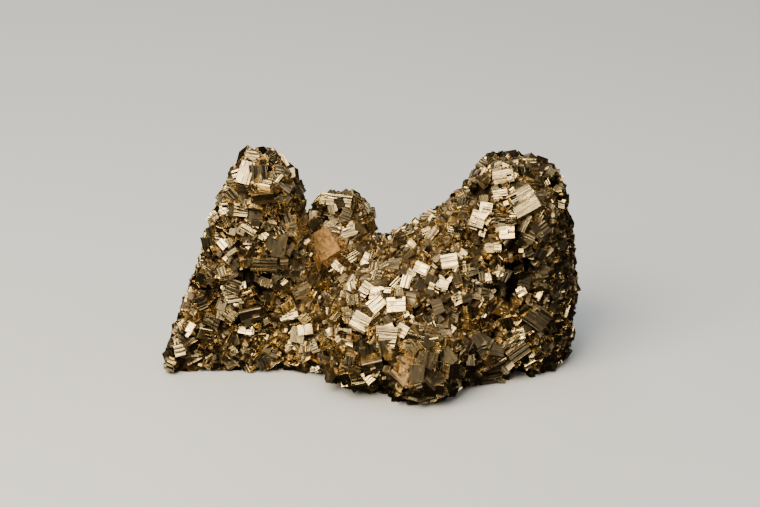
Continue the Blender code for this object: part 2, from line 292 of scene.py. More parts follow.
def crossing_quads(inside, number, axis):
    """One quad for each crossed grid edge along the axis, from the four cells around it, facing out."""
    other = [i for i in range(3) if i != axis]
    lower = tuple(slice(0, -1) if i == axis else slice(1, -1) for i in range(3))
    upper = tuple(slice(1, None) if i == axis else slice(1, -1) for i in range(3))
    crossed = inside[lower] != inside[upper]
    first = np.argwhere(crossed) + np.array([0 if i == axis else 1 for i in range(3)])
    around = []
    for step in ((1, 1), (0, 1), (0, 0), (1, 0)):
        near = first.copy()
        near[:, other] -= step
        around.append(number[tuple(near.T)])
    ring = np.stack(around, axis=1)
    flip = inside[lower][crossed] if axis == 1 else ~inside[lower][crossed]
    ring[flip] = ring[flip][:, ::-1]
    return ring


def surface_net(cell):
    """Points (n, 3) and quads (m, 4) of the surface where net_value is 0, on a grid with cells of that size."""
    axes = [np.arange(a, b + cell, cell) for a, b in zip(NET_LOW, NET_HIGH)]
    grid = np.stack(np.meshgrid(*axes, indexing="ij"), axis=-1)
    value = net_value(grid.reshape(-1, 3)).reshape(grid.shape[:3])
    inside = value < 0.0
    points, number = crossing_means(grid, value, inside)
    return points, np.concatenate([crossing_quads(inside, number, axis) for axis in range(3)])


print("the net lies in a box of", [b - a for a, b in zip(NET_LOW, NET_HIGH)], "mm")

# %% [markdown]
# The matrix is the net on a fine grid, shaken a little so that it looks broken and not blown up like a balloon.
# Its strip map looks at it askew, so its streaks run neither level nor straight down. Its base is cut flat.

# %% The matrix
MATRIX_CELL, SHAKE = 1.3, 0.12     # mm
MATRIX_TONE = 0.15                 # one tone all over

points, quads = surface_net(MATRIX_CELL)
rng = np.random.default_rng(7)
points = points + rng.normal(0.0, SHAKE, points.shape) * (points[:, 2:] > 0.3)
points[:, 2] = np.maximum(points[:, 2], 0.0)
x, y, z = points[quads].transpose(2, 0, 1)
askew = [np.stack([x + y, z + 0.6 * (x - y)], axis=-1)]
matrix = build("matrix", points, [quads], np.full(len(points), MATRIX_TONE), rust_share(points), askew)

# %% [markdown]
# A crystal is settled by its highest corner. Turn it first, measure how far its corners reach along the normal
# of the mass, and then sink it until only rise millimetres stand out. That way a tilted cube and a flat one
# stand out alike, and none of them floats.

# %% Turning and settling crystals
def turning(turn, lean, roll):
    """Frames that roll about Y, lean back about X and then turn about Z, angles in degrees, shape (n, 3, 3)."""
    t, l, r = np.radians([turn, lean, roll])
    o, z = np.ones_like(t), np.zeros_like(t)
    about_z = np.array([[np.cos(t), -np.sin(t), z], [np.sin(t), np.cos(t), z], [z, z, o]])
    about_x = np.array([[o, z, z], [z, np.cos(l), np.sin(l)], [z, -np.sin(l), np.cos(l)]])
    about_y = np.array([[np.cos(r), z, np.sin(r)], [z, o, z], [-np.sin(r), z, np.cos(r)]])
    return np.einsum("ijn,jkn,kln->nil", about_z, about_x, about_y)


def settle(points, normals, frames, sides, rise):
    """Centres p + n (rise - reach), with reach = sum over the axes of |axis . n| side / 2."""
    reach = (np.abs(np.einsum("nij,ni->nj", frames, normals)) * sides / 2).sum(axis=1)
    return points + normals * (rise - reach)[:, None]


def front_points(places):
    """The first point of the mass met along +Y at each (x, z), slid onto the surface."""
    depths = np.arange(-34.0, 30.0, 0.25)
    points = np.stack([np.repeat(places[:, :1], len(depths), axis=1), np.tile(depths, (len(places), 1)),
                       np.repeat(places[:, 1:], len(depths), axis=1)], axis=-1)
    inside = body_distance(points.reshape(-1, 3)).reshape(len(places), -1) < 0.0
    return on_surface(points[np.arange(len(places)), inside.argmax(axis=1)])


print("the front of the foot is at y =", round(float(front_points(heart[:, ::2])[0, 1]), 1), "mm")

# %% [markdown]
# The large crystals come one by one. Each row gives the place on the front (x, z), the sides (width, depth,
# height), and the turn, lean and roll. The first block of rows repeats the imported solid's large crystals, a few
# of them shifted or turned a little or split in two, and the second adds the smaller ones that catch the eye.

# %% The large crystals
LARGE = np.array([
    (-30.6, 52.6, 5.6, 6.0, 3.8, -16, 34, 98),
    (-26.9, 53.2, 6.4, 6.0, 4.6, -4, 8, 87),
    (-25.5, 56.0, 6.5, 6.0, 4.5, -12, 58, 8),
    (-26.0, 48.0, 5.0, 5.0, 3.5, 6, -18, -4),
    (-20.0, 38.5, 4.5, 5.0, 5.5, 16, 6, 2),
    (-23.0, 34.0, 6.0, 5.0, 5.5, 12, 10, 104),
    (-26.0, 29.0, 6.5, 5.0, 3.5, 4, 10, 4),
    (-30.0, 15.5, 5.5, 5.0, 4.5, 8, -10, -12),
    (-46.0, 0.5, 3.5, 4.0, 5.5, -8, -4, -32),
    (-2.5, 14.0, 5.5, 6.0, 5.0, 4, 6, 80),
    (-6.0, 12.0, 4.0, 6.0, 7.5, -24, 4, 10),
    (-0.5, 9.0, 5.0, 6.0, 7.0, 8, -16, -12),
    (-3.0, 5.0, 6.5, 6.0, 4.0, -4, 8, -14),
    (-8.0, 10.0, 3.0, 5.0, 7.5, 30, -14, 4),
    (8.8, 10.0, 7.5, 5.6, 5.6, 40, 10, 94),
    (4.5, 15.5, 4.0, 5.0, 5.5, -4, 10, 80),
    (14.0, 13.5, 4.0, 5.0, 5.0, 6, 10, 100),
    (1.5, 14.5, 3.0, 4.0, 7.5, 26, 10, -36),
    (-2.5, 19.0, 4.5, 5.0, 4.5, -18, 26, 20),
    (14.0, 25.5, 6.0, 5.0, 3.5, 10, -20, 16),
    (-11.8, 25.8, 7.6, 6.6, 6.8, -14, 38, 50),
    (-1.0, 26.0, 5.5, 6.0, 5.5, -20, 30, 18),
    (-9.0, 35.5, 8.0, 6.0, 3.5, -8, 56, 4),
    (38.0, 46.5, 6.5, 7.0, 7.0, -6, 38, -32),
    (32.5, 51.0, 5.0, 5.0, 4.0, -10, 42, -14),
    (41.3, 16.6, 6.0, 6.0, 5.5, 12, 6, 40),
    (31.0, 5.0, 9.0, 7.0, 4.4, -8, 12, -33),
    (36.0, 9.0, 5.5, 6.0, 6.0, 10, 6, -34),
], float)
NOTABLE = np.array([
    (-35.0, 46.5, 4.0, 4.0, 3.5, -10, 8, -14),
    (-21.0, 46.0, 4.5, 4.0, 3.0, 10, 22, 38),
    (-29.5, 39.0, 4.0, 4.0, 3.5, -6, 22, 28),
    (-31.5, 44.0, 3.5, 4.0, 4.5, -14, 16, 2),
    (-38.5, 39.5, 3.0, 4.0, 4.0, -34, 20, 8),
    (-35.5, 42.5, 4.5, 4.0, 3.5, -8, 24, -6),
    (-34.0, 23.0, 3.5, 3.5, 3.5, -6, 12, 20),
    (-34.0, 20.0, 3.5, 3.5, 3.0, -4, 16, -10),
    (-42.0, 17.5, 3.0, 4.0, 4.0, -16, 6, -28),
    (-39.5, 13.5, 4.0, 4.0, 3.0, -6, 8, 22),
    (-41.0, 10.0, 3.5, 4.0, 3.5, -10, 4, 8),
    (-35.0, 15.0, 3.5, 4.0, 3.5, -8, 18, 34),
    (-20.5, 14.5, 4.5, 4.0, 3.5, 2, 34, -14),
    (-25.0, 5.0, 4.5, 4.0, 3.5, 6, 30, 24),
    (-31.0, 11.0, 3.5, 3.5, 2.5, -10, 30, 6),
    (-4.5, 1.5, 4.0, 5.0, 2.5, -6, -6, 12),
    (10.5, 16.0, 4.5, 5.0, 4.0, 2, 14, 8),
    (10.5, 5.0, 3.5, 5.0, 3.5, 10, -14, 24),
    (15.0, 18.5, 3.5, 4.0, 3.5, -2, 16, 12),
    (15.5, 16.5, 4.5, 5.0, 4.0, -6, 12, -12),
    (1.5, 24.5, 3.5, 4.0, 3.5, -12, 34, 4),
    (6.5, 22.5, 4.5, 4.0, 4.0, -10, 38, -8),
    (1.0, 28.5, 3.0, 4.0, 4.5, -16, 30, -28),
    (-10.0, 29.5, 4.5, 5.0, 3.0, 0, 44, 12),
    (-5.5, 29.0, 4.0, 5.0, 4.5, -6, 40, -20),
    (39.5, 49.5, 4.0, 5.0, 4.0, 22, -8, 10),
    (28.0, 44.5, 3.0, 4.0, 3.0, -12, 38, 4),
    (32.0, 43.0, 4.5, 4.0, 3.5, 8, 4, 6),
    (26.0, 42.0, 3.5, 4.0, 4.5, -10, 34, 12),
    (31.5, 48.0, 3.5, 4.0, 3.0, -6, 26, -10),
    (41.5, 40.0, 4.0, 4.0, 3.5, 20, 8, -30),
    (43.0, 47.0, 3.5, 4.0, 3.0, 4, 36, -24),
    (39.5, 51.5, 4.5, 4.0, 2.0, 2, 58, -4),
    (33.0, 39.5, 4.5, 4.0, 3.5, -14, 36, -10),
    (30.0, 35.5, 4.0, 4.0, 2.5, -6, 34, -4),
    (28.5, 28.0, 4.0, 5.0, 3.5, -12, 38, -20),
    (31.5, 29.0, 3.5, 5.0, 4.0, -10, 36, -12),
    (28.0, 19.0, 3.0, 4.0, 4.0, -16, 36, 16),
    (34.5, 11.0, 4.0, 5.0, 4.5, 10, 6, 36),
    (37.0, 12.0, 3.0, 4.0, 3.5, -8, 24, -16),
    (15.0, 17.5, 3.5, 4.0, 3.5, 0, 12, 14),
    (40.5, 20.5, 2.5, 4.0, 2.5, -10, 22, 8),
    (23.0, 13.0, 4.0, 4.0, 2.5, -4, 20, 22),
    (19.5, 33.0, 4.0, 4.0, 3.5, -14, 36, -16),
    (12.5, 31.0, 3.5, 4.0, 3.0, -12, 30, 20),
    (22.5, 24.0, 4.0, 4.0, 3.0, -10, 28, -30),
    (18.0, 28.0, 3.0, 4.0, 3.0, -14, 36, 10),
    (-17.5, 21.0, 4.5, 5.0, 3.5, 20, 6, -18),
    (-49.8, 2.2, 3.0, 3.0, 3.2, -25, 15, 10),
    (-47.5, 5.8, 2.8, 3.0, 3.0, -15, 25, -20),
], float)
table = np.concatenate([LARGE, NOTABLE])
print(len(LARGE), "large crystals and", len(NOTABLE), "that catch the eye")

# %% [markdown]
# A larger crystal stands out further, and so does the rusty one in the saddle. No crystal may leave the packed
# box, so each one that would is moved in by what its corners reach.

# %% Where the large crystals stand
STAND, STAND_SHARE = 0.8, 0.16     # mm, and the share of its size that is added
RUSTY, RUSTY_STAND = 0.95, 1.6     # the rust share from which a crystal stands this many mm further out
LOWEST = 0.02                      # mm: no corner of a crystal goes lower, so the base stays flat
LOW, HIGH = (np.array(corner) / MM + MIDDLE for corner in cad_box)

big_points = front_points(table[:, :2])
big_sides = table[:, 2:5]
big_frames = turning(*table[:, 5:8].T)
big_rise = STAND + STAND_SHARE * big_sides.mean(axis=1) + RUSTY_STAND * (rust_share(big_points) > RUSTY)
big_centres = settle(big_points, outward(big_points), big_frames, big_sides, big_rise)
big_reach = (np.abs(big_frames) * big_sides[:, None, :] / 2).sum(axis=2)
big_centres = np.clip(big_centres, LOW + big_reach * (1, 1, -1), HIGH - big_reach)
big = (big_centres, big_frames, big_sides)
print("their longest sides are", big_sides.max(axis=1).min(), "to", big_sides.max(), "mm")

# %% [markdown]
# A large crystal isn't a clean cube. It grew in plates, so its four long sides step in and out where one plate
# ended early, and the steps are the grooves that give pyrite its silky lines. A bump in the material could fake
# them, but real steps also break up the edges. So we draw the cross-section as a closed outline of small steps,
# then pull it along the width. The ends stay flat.

# %% A fluted outline
RIB = 0.55          # mm, about how wide the edge of one plate is
SET_BACK = 0.05     # the deepest step, as a share of the thinner side


def fluted(sides, rng):
    """Outline (2, n) of a stepped rectangle: each side is cut into ribs, and each rib is set in by its own depth.

    The ribs' ends t and set-backs d give the points (t, d). Each rib slants by a few degrees, so that some flash
    while their neighbours stay dark. The four sides keep clear of the corners by the deepest set-back, so the
    outline never crosses itself.
    """
    half_y, half_z = sides[1] / 2, sides[2] / 2
    deepest = SET_BACK * min(sides[1], sides[2])
    pieces = []
    for quarter in range(4):
        along, across = (half_z, half_y) if quarter % 2 else (half_y, half_z)
        ribs = max(4, int(2 * along / RIB))
        cuts = np.cumsum(rng.exponential(1.0, ribs) ** 1.3 + 0.12)
        ends = np.concatenate([[0.0], cuts / cuts[-1]])
        ends = deepest / (2 * along) + ends * (1 - deepest / along)
        depth = deepest * rng.beta(0.5, 1.6, ribs)
        slant = rng.normal(0.0, 0.06, ribs) * np.diff(ends) * 2 * along
        t = np.repeat(ends, 2)[1:-1] * 2 * along - along
        d = across - np.clip(np.stack([depth - slant, depth + slant], axis=1).ravel(), 0.0, deepest)
        c, s = ((1, 0), (0, 1), (-1, 0), (0, -1))[quarter]
        pieces.append(np.stack([c * t + s * d, s * t - c * d]))
    return np.concatenate(pieces, axis=1)


print("the outline of a 6 mm crystal has", fluted([6.0] * 3, np.random.default_rng(1)).shape[1], "corners")

# %% [markdown]
# The outline is copied to both ends, a wall joins each of its edges to the same edge of the other copy, and each
# end is one face with many corners. The strip map has the pull along u and the way around the outline along v.
# Each crystal starts v somewhere else, so that no two have the same grooves.

# %% Fluted crystals
def pulled(outline, half):
    """The outline pulled from -half to half along X: points (3, 2 n), walls (n, 4) and the two ends."""
    n = outline.shape[1]
    local = np.concatenate([np.stack([np.full(n, x), *outline]) for x in (-half, half)], axis=1)
    i = np.arange(n)
    j = (i + 1) % n
    return local, np.stack([i, n + i, n + j, j], axis=1)[:, ::-1], (i[::-1], n + i)


def pulled_strip(outline, half, shift):
    """Strip maps of the walls, (x, way around + shift) at their corners, and of the two ends, (y, z)."""
    around = np.concatenate([[0.0], np.cumsum(np.linalg.norm(np.diff(outline, axis=1), axis=0))])
    after = np.append(around[1:], around[-1] + 0.1)
    corners = ((-half, around), (half, around), (half, after), (-half, after))
    walls = np.stack([np.stack([np.full(len(v), u), v + shift], axis=1) for u, v in corners], axis=1)
    return walls[:, ::-1], (outline.T[::-1], outline.T)


rng = np.random.default_rng(41)
points, tones, rusts, walls, wall_strips, ends, end_strips = ([] for _ in range(7))
start = 0
for centre, axes, sides in zip(*big):
    outline, half = fluted(sides, rng), sides[0] / 2
    local, wall, pair = pulled(outline, half)
    count = local.shape[1]
    points.append((axes @ local).T + centre)
    tones.append(np.full(count, rng.uniform(0.2, 1.0)))
    rusts.append(np.full(count, rust_share(centre[None])[0]))
    wall_strip, pair_strip = pulled_strip(outline, half, rng.uniform(0, 90))
    walls.append(wall + start)
    wall_strips.append(wall_strip)
    ends += [end[None] + start for end in pair]
    end_strips += [strip[None] for strip in pair_strip]
    start += count
points = np.concatenate(points)
points[:, 2] = np.maximum(points[:, 2], LOWEST)
large = build("large_crystals", points, [np.concatenate(walls)] + ends, np.concatenate(tones),
              np.concatenate(rusts), [np.concatenate(wall_strips)] + end_strips)

# %% [markdown]
# The rest are strewn, and GRAIN says how coarse they are around each of its points: the front foot is coarse,
# and the left foot and the right flank are fine. Between its points the coarseness changes gently.

# %% Coarse and fine places
GRAIN = np.array([
    (0.0, -26.0, 8.0, 1.25), (-27.0, -2.0, 54.0, 1.0), (-27.0, -8.0, 36.0, 0.95), (-46.0, 0.0, 8.0, 0.68),
    (-32.0, -9.0, 15.0, 0.75), (34.0, -13.0, 30.0, 0.8), (50.0, 3.0, 25.0, 0.68), (38.0, 2.0, 52.0, 0.75),
    (0.0, 4.0, 28.0, 0.8), (0.0, 27.0, 18.0, 0.95), (36.0, 25.0, 22.0, 0.95), (-32.0, 20.0, 15.0, 0.95),
    (18.0, -14.0, 30.0, 0.8), (30.0, -16.0, 10.0, 1.05), (-9.0, 18.0, 36.0, 0.85),
])


def grain(points):
    """Coarseness at each point: the mean of the entries' factors weighted by 1 / (distance + 2)^3."""
    weight = 1.0 / (np.linalg.norm(points[:, None, :] - GRAIN[:, :3], axis=-1) + 2.0) ** 3
    return (weight * GRAIN[:, 3]).sum(axis=1) / weight.sum(axis=1)


print("the crystals are", GRAIN[:, 3].min(), "to", GRAIN[:, 3].max(), "times as large as the plain ones")

# %% [markdown]
# We pick random places on a coarse net of the mass, slide them onto the surface and drop each one that lies too
# near an earlier one. Plain random places would clump, and a grid would look laid out, but places picked in this
# way are spaced evenly and still look natural. A fissure stays bare.

# %% Strewing
STREW_CELL = 2.6     # mm, the coarse net
BARE = 0.1           # mm beside a fissure where nothing grows
FOOT = 0.15          # mm: no crystal grows lower than this

net_points, net_quads = surface_net(STREW_CELL)


def fissured(points):
    """True for each point on the wall of a fissure."""
    return np.any([line_distance(points, f[:3], f[3:6]) < f[6] + BARE for f in FISSURES], axis=0)


def thinned(points, reaches):
    """The points in their order, where each one kept drops the later ones that are nearer than its reach."""
    tree = KDTree(len(points))
    for i, point in enumerate(points):
        tree.insert(point, i)
    tree.balance()
    kept = np.ones(len(points), bool)
    for i, reach in enumerate(reaches):
        if kept[i]:
            near = [j for _, j, _ in tree.find_range(points[i], reach) if j > i]
            kept[near] = False
    return points[kept]


def strewn(spacing, tries, rng):
    """Places on the mass: (1 - s)(1 - t) a + s (1 - t) b + s t c + (1 - s) t d on random quads abcd of the net,
    slid onto the surface and thinned until no two are nearer than spacing times the coarseness there."""
    a, b, c, d = net_points[net_quads[rng.integers(0, len(net_quads), tries)]].transpose(1, 0, 2)
    s, t = rng.random((2, tries, 1))
    points = (1 - s) * (1 - t) * a + s * (1 - t) * b + s * t * c + (1 - s) * t * d
    points = on_surface(points[points[:, 2] > FOOT])
    points = points[(np.abs(body_distance(points)) < 0.05) & (points[:, 2] > FOOT) & ~fissured(points)]
    return thinned(points, spacing * grain(points))


print("the places are picked on", len(net_quads), "quads")

# %% [markdown]
# Three sizes follow one another, and each keeps off the places that a larger one has taken. A size is a row of
# plain numbers: how far apart the crystals are and how many places are tried, how long their sides are, how far
# they stand out, and how far they keep off the larger ones. The medium crystals come first.

# %% Medium crystals
MEDIUM = {"spacing": 2.45, "tries": 24000, "side": (2.6, 4.4), "rise": (0.4, 2.0), "margin": 0.1, "seed": 5}
UNEVEN = (0.72, 1.15)     # the three sides of a crystal, as shares of its size
PEEP = 0.45               # a crystal is dropped if the place this far over its middle is taken, in sides


def uncovered(points, centres, frames, sides, margin):
    """True for each point that lies outside every box (centre, frame, sides) grown by margin."""
    free = np.ones(len(points), bool)
    for centre, axes, half in zip(centres, frames, sides / 2 + margin):
        local = (points - centre) @ axes
        free &= (np.abs(local) > half).any(axis=1)
    return free


def random_frames(n, rng):
    """Rotations spread evenly over all directions, from unit quaternions (w, x, y, z)."""
    w, x, y, z = (q := rng.normal(size=(4, n))) / np.linalg.norm(q, axis=0)
    rows = [[1 - 2 * (y * y + z * z), 2 * (x * y - z * w), 2 * (x * z + y * w)],
            [2 * (x * y + z * w), 1 - 2 * (x * x + z * z), 2 * (y * z - x * w)],
            [2 * (x * z - y * w), 2 * (y * z + x * w), 1 - 2 * (x * x + y * y)]]
    return np.array(rows).transpose(2, 0, 1)


def cubes(taken, spacing, tries, side, rise, margin, seed):
    """Strewn crystals: centres, frames, sides and normals. Their highest corners stand rise mm over the mass."""
    rng = np.random.default_rng(seed)
    points = strewn(spacing, tries, rng)
    normals, coarse = outward(points), grain(points)
    n = len(points)
    sides = (coarse * rng.uniform(*side, n))[:, None] * rng.uniform(*UNEVEN, (n, 3))
    frames = random_frames(n, rng)
    centres = settle(points, normals, frames, sides, rng.uniform(*rise, n) * coarse)
    peeps = centres + normals * sides.mean(axis=1)[:, None] * PEEP
    free = np.ones(n, bool)
    for others in taken:
        free &= uncovered(peeps, *others, margin)
    return centres[free], frames[free], sides[free], normals[free]


mid_centres, mid_frames, mid_sides, mid_normals = cubes([big], **MEDIUM)
print(len(mid_centres), "medium crystals")

# %% [markdown]
# Crystals seldom stop at one block. About half of the medium ones get a smaller neighbour in the same
# orientation, pushed sideways out of one corner, so that two or three parallel steps show. This parallel growth
# is what makes real pyrite look built of ledges.

# %% Parallel growth
PARALLEL = 0.5                                # the share of the medium crystals that have such a neighbour
PUSH, STEP_SIZE = (0.2, 0.5), (0.5, 0.85)     # how far it is pushed and how large it is, in sides

mid_rng = np.random.default_rng(15)
pick = mid_rng.random(len(mid_centres)) < PARALLEL
shape = (pick.sum(), 3)
shift = mid_rng.uniform(*PUSH, shape) * mid_rng.choice([-1.0, 1.0], shape) * mid_sides[pick]
shift = np.einsum("nij,nj->ni", mid_frames[pick], shift)
lifted = (shift * mid_normals[pick]).sum(axis=1, keepdims=True)
shift -= mid_normals[pick] * np.maximum(lifted, 0.0) * 0.9
step_centres = mid_centres[pick] + shift
step_sides = mid_sides[pick] * mid_rng.uniform(*STEP_SIZE, shape)
free = uncovered(step_centres, *big, MEDIUM["margin"])
medium = (np.concatenate([mid_centres, step_centres[free]]), np.concatenate([mid_frames, mid_frames[pick][free]]),
          np.concatenate([mid_sides, step_sides[free]]))
print(len(medium[0]), "medium crystals with their neighbours")

# %% [markdown]
# The large crystals carry small blocks on their faces, RIDERS on each. A rider has the same orientation as the
# crystal under it and stands only a fraction of a millimetre proud of one of its six faces.

# %% Riders
RIDERS = 7
RIDER_SIDES, PROUD = (0.7, 2.2), (0.1, 0.5)     # mm

rider_sides = mid_rng.uniform(*RIDER_SIDES, (len(table) * RIDERS, 3))
rider_frames = np.repeat(big_frames, RIDERS, axis=0)
room = np.repeat(big_sides / 2, RIDERS, axis=0) - rider_sides / 2
place = mid_rng.uniform(-0.9, 0.9, room.shape) * room
face = mid_rng.integers(0, 3, len(place))[:, None] == np.arange(3)
way = mid_rng.choice([-1.0, 1.0], (len(place), 1))
place = np.where(face, way * (room + mid_rng.uniform(*PROUD, (len(place), 1))), place)
rider_centres = np.repeat(big_centres, RIDERS, axis=0) + np.einsum("nij,nj->ni", rider_frames, place)
riders = (rider_centres, rider_frames, rider_sides)
print(len(rider_centres), "riders")

# %% [markdown]
# The small crystals fill what the larger ones left, and the tiny ones are the druse, a fine crust that sparkles
# in the gaps. Most of them are sunk so far that only a corner shows.

# %% Small and tiny crystals
SMALL = {"spacing": 1.3, "tries": 50000, "side": (1.5, 2.6), "rise": (-0.2, 1.4), "margin": 0.0, "seed": 6}
TINY = {"spacing": 0.95, "tries": 60000, "side": (0.8, 1.4), "rise": (-0.7, 0.7), "margin": 0.0, "seed": 8}

small = cubes([big, medium], **SMALL)[:3]
tiny = cubes([big, medium, small], **TINY)[:3]
print(len(small[0]), "small and", len(tiny[0]), "tiny crystals")

# %% [markdown]
# Every strewn crystal is one bevelled cube, stretched, skewed a little and turned. The bevel matters more than
# its size suggests, because it is what catches a bright line along each edge. A vertex of the cube belongs to
# one of the six faces, so the grooves can run along a different axis on each face, as they do in pyrite.

# %% A bevelled cube
def bevelled_cube():
    """The 24 corners of a bevelled cube as signs and owning axis, with its 18 quads and 8 triangles facing out."""
    sign = np.array([(x, y, z) for x in (-1, 1) for y in (-1, 1) for z in (-1, 1)])
    signs = np.repeat(sign, 3, axis=0)
    owner = np.tile(np.arange(3), 8)
    places = signs * np.where(np.arange(3) == owner[:, None], 1.0, 0.8)
    quads, triangles = [], [np.arange(3) + 3 * i for i in range(8)]
    for axis in range(3):
        b, c = (axis + 1) % 3, (axis + 2) % 3
        for s in (-1, 1):
            ring = [(s, -1, -1), (s, 1, -1), (s, 1, 1), (s, -1, 1)]
            quads.append([corner(axis, b, c, *r) * 3 + axis for r in ring])
        for s, t in ((-1, -1), (-1, 1), (1, -1), (1, 1)):
            low, high = corner(axis, b, c, -1, s, t), corner(axis, b, c, 1, s, t)
            quads.append([low * 3 + b, high * 3 + b, high * 3 + c, low * 3 + c])
    return signs, owner, outward_faces(places, np.array(quads)), outward_faces(places, np.array(triangles))


def corner(a, b, c, sa, sb, sc):
    """Index of the cube corner whose signs along axes a, b and c are sa, sb and sc."""
    sign = {a: sa, b: sb, c: sc}
    return int((sign[0] > 0) * 4 + (sign[1] > 0) * 2 + (sign[2] > 0))


def outward_faces(places, faces):
    """The faces with their corners reversed wherever the normal points at the middle."""
    at = places[faces]
    normal = np.cross(at[:, 1] - at[:, 0], at[:, 2] - at[:, 0])
    inward = (normal * at.mean(axis=1)).sum(axis=1) < 0
    faces[inward] = faces[inward][:, ::-1]
    return faces


SIGNS, OWNER, QUADS, TRIANGLES = bevelled_cube()
print("a bevelled cube has", len(SIGNS), "corners,", len(QUADS), "quads and", len(TRIANGLES), "triangles")

# %% [markdown]
# All crystals of one size make one mesh, worked out as whole arrays: every crystal times every corner of the
# cube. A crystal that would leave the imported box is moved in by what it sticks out.

# %% The strewn crystals
def crystal_piece(name, centres, frames, sides, bevel, skew, tone, seed):
    """One mesh of bevelled cubes: p = centre + frame (I + skew) (sign (half - bevel where not the owner axis))."""
    rng = np.random.default_rng(seed)
    n = len(centres)
    width = np.minimum(bevel * rng.uniform(0.6, 1.4, n), sides.min(axis=1) * 0.2)[:, None, None]
    owned = (np.arange(3) == OWNER[:, None])[None]
    local = SIGNS[None] * (sides[:, None, :] / 2 - np.where(owned, 0.0, width))
    skewed = np.eye(3) + rng.normal(0.0, skew, (n, 3, 3)) * (1 - np.eye(3))
    narrower = 1 + rng.uniform(-0.14, 0.14, (n, 1)) * SIGNS[None, :, 2]
    local = local * np.stack([narrower, narrower, np.ones_like(narrower)], axis=-1)
    points = np.einsum("nij,njk,nvk->nvi", frames, skewed, local) + centres[:, None, :]
    over = np.maximum(points.max(axis=1) - HIGH, 0.0) + np.minimum(points.min(axis=1) - LOW, 0.0) * (1, 1, 0)
    points = points - over[:, None, :]
    points[..., 2] = np.maximum(points[..., 2], LOWEST)
    base = (len(SIGNS) * np.arange(n))[:, None, None]
    quads, triangles = (QUADS[None] + base).reshape(-1, 4), (TRIANGLES[None] + base).reshape(-1, 3)
    along, across, each = (OWNER + 2) % 3, (OWNER + 1) % 3, np.arange(len(SIGNS))
    grooves = np.stack([local[:, each, along], local[:, each, across]], axis=-1)
    grooves = (grooves + rng.uniform(0, 90, (n, 1, 2))).reshape(-1, 2)
    shade = np.repeat(rng.uniform(*tone, n), len(SIGNS))
    rusty = np.repeat(rust_share(centres) * rng.uniform(0.3, 1.0, n), len(SIGNS))
    return build(name, points.reshape(-1, 3), [quads, triangles], shade, rusty, [grooves[quads], grooves[triangles]])


medium_piece = crystal_piece("medium_crystals", *medium, bevel=0.07, skew=0.05, tone=(0.0, 1.0), seed=21)
rider_piece = crystal_piece("riding_crystals", *riders, bevel=0.04, skew=0.0, tone=(0.0, 1.0), seed=24)
small_piece = crystal_piece("small_crystals", *small, bevel=0.05, skew=0.05, tone=(0.0, 1.0), seed=22)
tiny_piece = crystal_piece("tiny_crystals", *tiny, bevel=0.03, skew=0.06, tone=(0.0, 0.8), seed=23)

# %% [markdown]
# A material is a tree of small steps, called nodes, and each kind that the metal needs gets a short function. A
# step's input is either the output of an earlier step, which is linked, or a plain value.

# %% Short names for the steps of a material
def step_of(tree, kind, inputs, **settings):
    """A new node of the kind, with its settings and then its inputs: a socket is linked, the rest are values."""
    node = tree.nodes.new(kind)
    for key, value in settings.items():
        setattr(node, key, value)
    for key, value in inputs.items():
        if isinstance(value, bpy.types.NodeSocket):
            tree.links.new(value, node.inputs[key])
        else:
            node.inputs[key].default_value = value
    return node


def stored(tree, label):
    """What build stored on the mesh under this label."""
    return step_of(tree, "ShaderNodeAttribute", {}, attribute_name=label).outputs["Fac"]


def combined(tree, operation, a, b=0.5):
    """One step of arithmetic on a and b, such as ADD or MAXIMUM, or on a alone."""
    return step_of(tree, "ShaderNodeMath", {0: a, 1: b}, operation=operation).outputs[0]


def between(tree, value, low, high, to=(0.0, 1.0)):
    """Value moved from the range low to high into the range to, and held inside it."""
    inputs = {"Value": value, "From Min": low, "From Max": high, "To Min": to[0], "To Max": to[1]}
    return step_of(tree, "ShaderNodeMapRange", inputs).outputs["Result"]


def noise(tree, vector, scale, detail, roughness=0.5):
    """Soft noise around 0.5, with scale as the number of its waves in one unit of the vector."""
    inputs = {"Vector": vector, "Scale": scale, "Detail": detail, "Roughness": roughness}
    return step_of(tree, "ShaderNodeTexNoise", inputs).outputs["Fac"]


def stretched(tree, strip, along, across):
    """The strip map with u times along and v times across."""
    return step_of(tree, "ShaderNodeMapping", {"Vector": strip, "Scale": (along, across, 1.0)}).outputs["Vector"]


def lines(tree, strip, along, across):
    """Distance to the middle of the nearest Voronoi cell, which is a line once the strip map is stretched."""
    inputs = {"Vector": stretched(tree, strip, along, across), "Scale": 1.0}
    return step_of(tree, "ShaderNodeTexVoronoi", inputs, voronoi_dimensions="2D").outputs["Distance"]


def mixed(tree, share, a, b):
    """The colour that lies share of the way from a to b."""
    node = step_of(tree, "ShaderNodeMix", {"Factor": share, "A": a, "B": b}, data_type="RGBA")
    return [socket for socket in node.outputs if socket.type == "RGBA"][0]


def raised(tree, height, most, under=None, strength=1.0):
    """Bump of height times most millimetres, on top of the bump under it."""
    inputs = {"Height": height, "Distance": most * MM, "Strength": strength}
    if under is not None:
        inputs["Normal"] = under
    return step_of(tree, "ShaderNodeBump", inputs).outputs["Normal"]


print("the metal needs eight kinds of steps")

# %% [markdown]
# Pyrite is a metal to look at: pale brass where it is fresh, more golden on some crystals and browner where it
# has tarnished. Nearly all of its look is reflection, so the work is in roughness and in the bump of the grooves.
# The grooves are the cells of a Voronoi texture on the strip map, stretched many times along u. One layer is fine
# and silky, and the other is coarse and gives the wider steps. A soft noise says which parts of a face are
# grooved at all, and dirt sits in the finest grooves and in small pits. Another noise, in Object coordinates,
# spreads tarnish across neighbouring crystals. Rust is laid over the metal as a dull, mottled coat.

